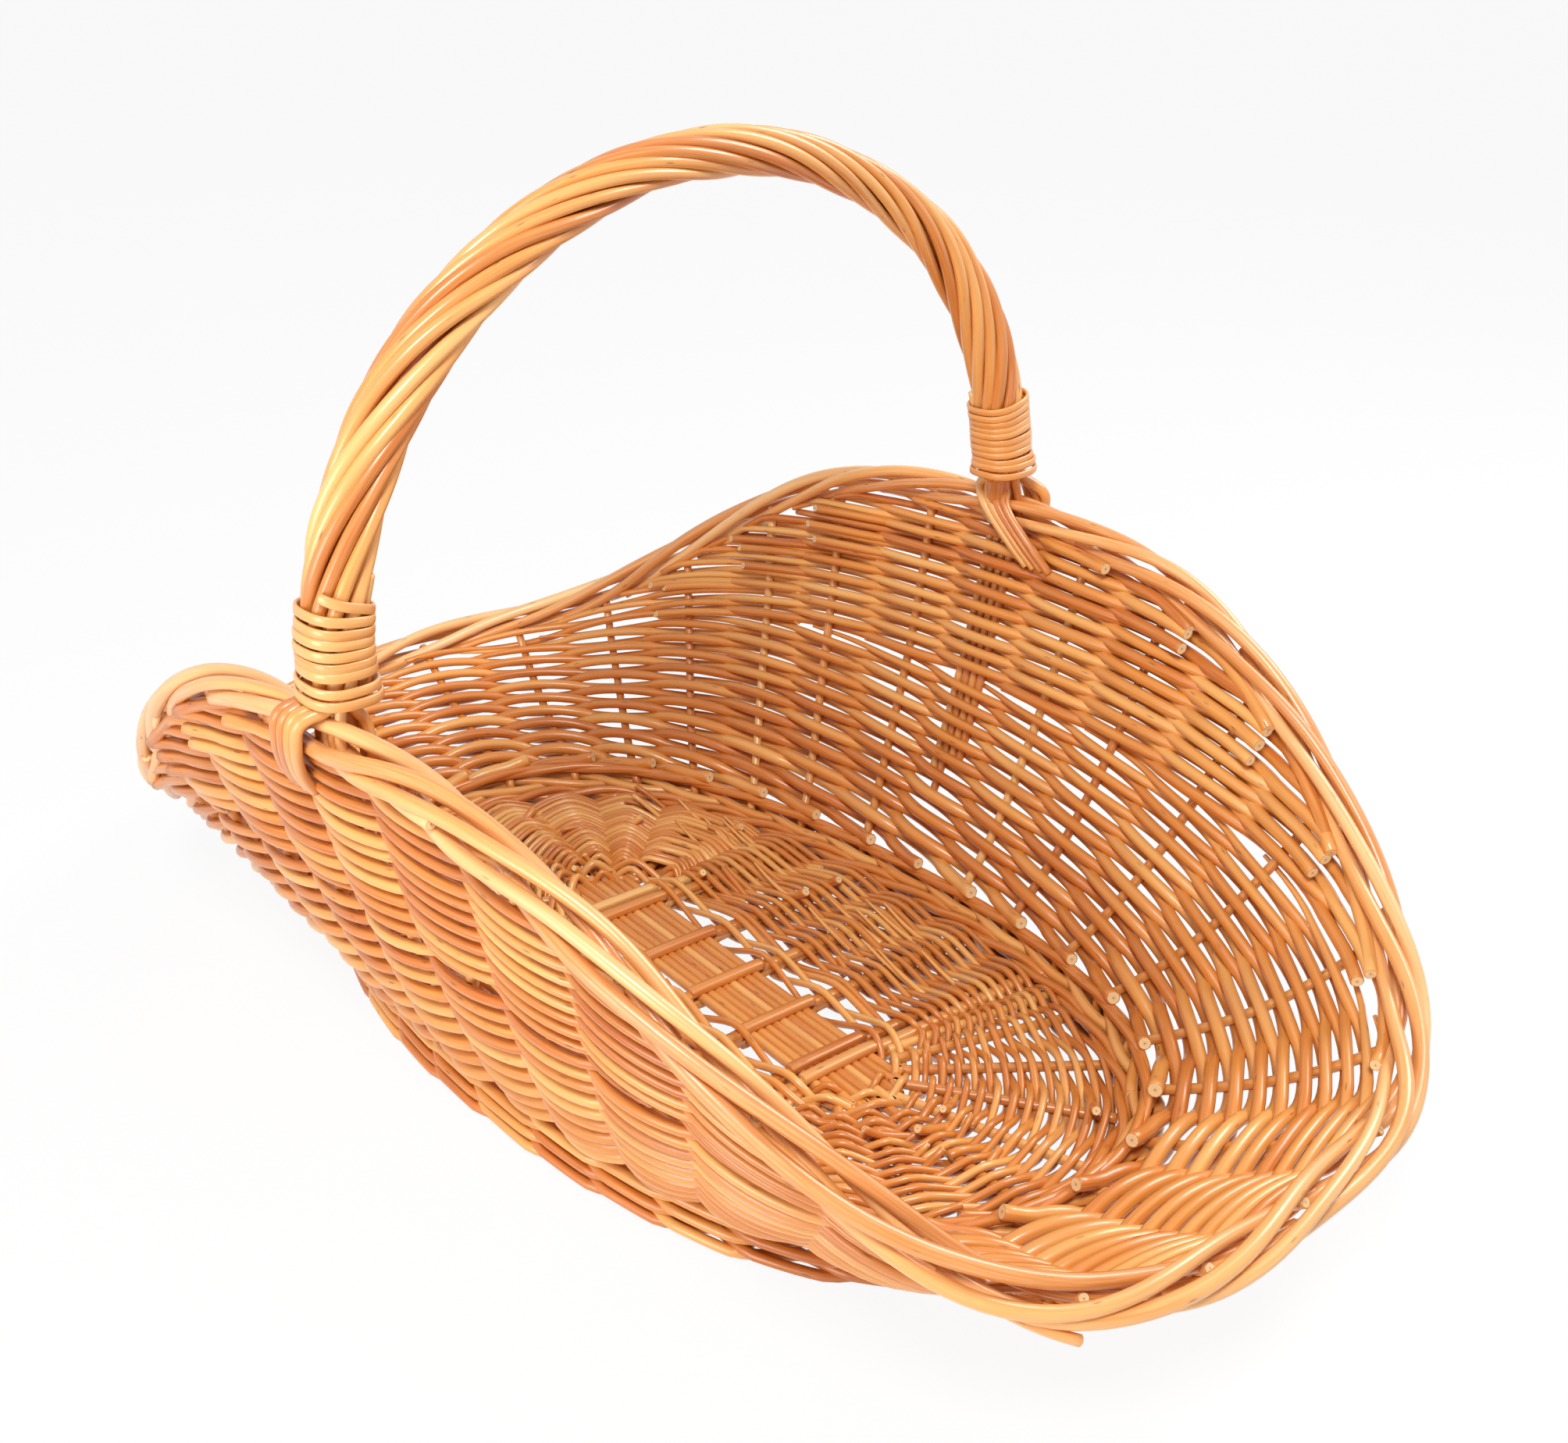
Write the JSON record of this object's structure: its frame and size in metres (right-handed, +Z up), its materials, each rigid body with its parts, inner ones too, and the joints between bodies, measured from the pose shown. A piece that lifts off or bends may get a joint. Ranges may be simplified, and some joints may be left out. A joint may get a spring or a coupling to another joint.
{
  "type": "wicker firewood basket",
  "caption": "Oval willow log basket with flared woven sides, low open ends, a rolled border and a fixed roped handle arched across the middle.",
  "frame": {"origin": "on the floor under the middle of the basket's outline", "axes": "+X along the length of the basket, +Y across it under the handle, +Z up"},
  "size_m": [0.6669, 0.42, 0.41],
  "materials": {
    "stakes": "varnished peeled willow",
    "weavers": "varnished peeled willow",
    "border": "varnished peeled willow",
    "handle": "varnished peeled willow",
    "skein": "varnished split willow"
  },
  "bodies": {
    "root": {"slath_stick_1": "stakes", "slath_stick_2": "stakes", "slath_stick_3": "stakes", "slath_stick_4": "stakes", "slath_stick_5": "stakes", "slath_stick_6": "stakes", "slath_stick_7": "stakes", "slath_stick_8": "stakes", "cross_stick_1": "stakes", "cross_stick_2": "stakes", "cross_stick_3": "stakes", "cross_stick_4": "stakes", "cross_stick_5": "stakes", "cross_stick_6": "stakes", "cross_stick_7": "stakes", "base_weave_1": "weavers", "base_weave_2": "weavers", "foot_wale": "border", "side_stake_01": "stakes", "side_stake_02": "stakes", "side_stake_03": "stakes", "side_stake_04": "stakes", "side_stake_05": "stakes", "side_stake_06": "stakes", "side_stake_07": "stakes", "side_stake_08": "stakes", "side_stake_09": "stakes", "side_stake_10": "stakes", "side_stake_11": "stakes", "side_stake_12": "stakes", "side_stake_13": "stakes", "side_stake_14": "stakes", "side_stake_15": "stakes", "side_stake_16": "stakes", "side_stake_17": "stakes", "side_stake_18": "stakes", "side_stake_19": "stakes", "side_stake_20": "stakes", "side_stake_21": "stakes", "side_stake_22": "stakes", "side_stake_23": "stakes", "side_stake_24": "stakes", "side_stake_25": "stakes", "side_stake_26": "stakes", "side_stake_27": "stakes", "side_stake_28": "stakes", "side_stake_29": "stakes", "side_stake_30": "stakes", "side_weave_1": "weavers", "side_weave_2": "weavers", "side_weave_3": "weavers", "side_weave_4": "weavers", "side_weave_5": "weavers", "side_weave_6": "weavers", "border_roll": "border", "handle_bow": "handle", "handle_strand_outer": "handle", "handle_strand_inner": "handle", "handle_lashing_far": "skein", "handle_lashing_near": "skein"}
  },
  "joints": []
}
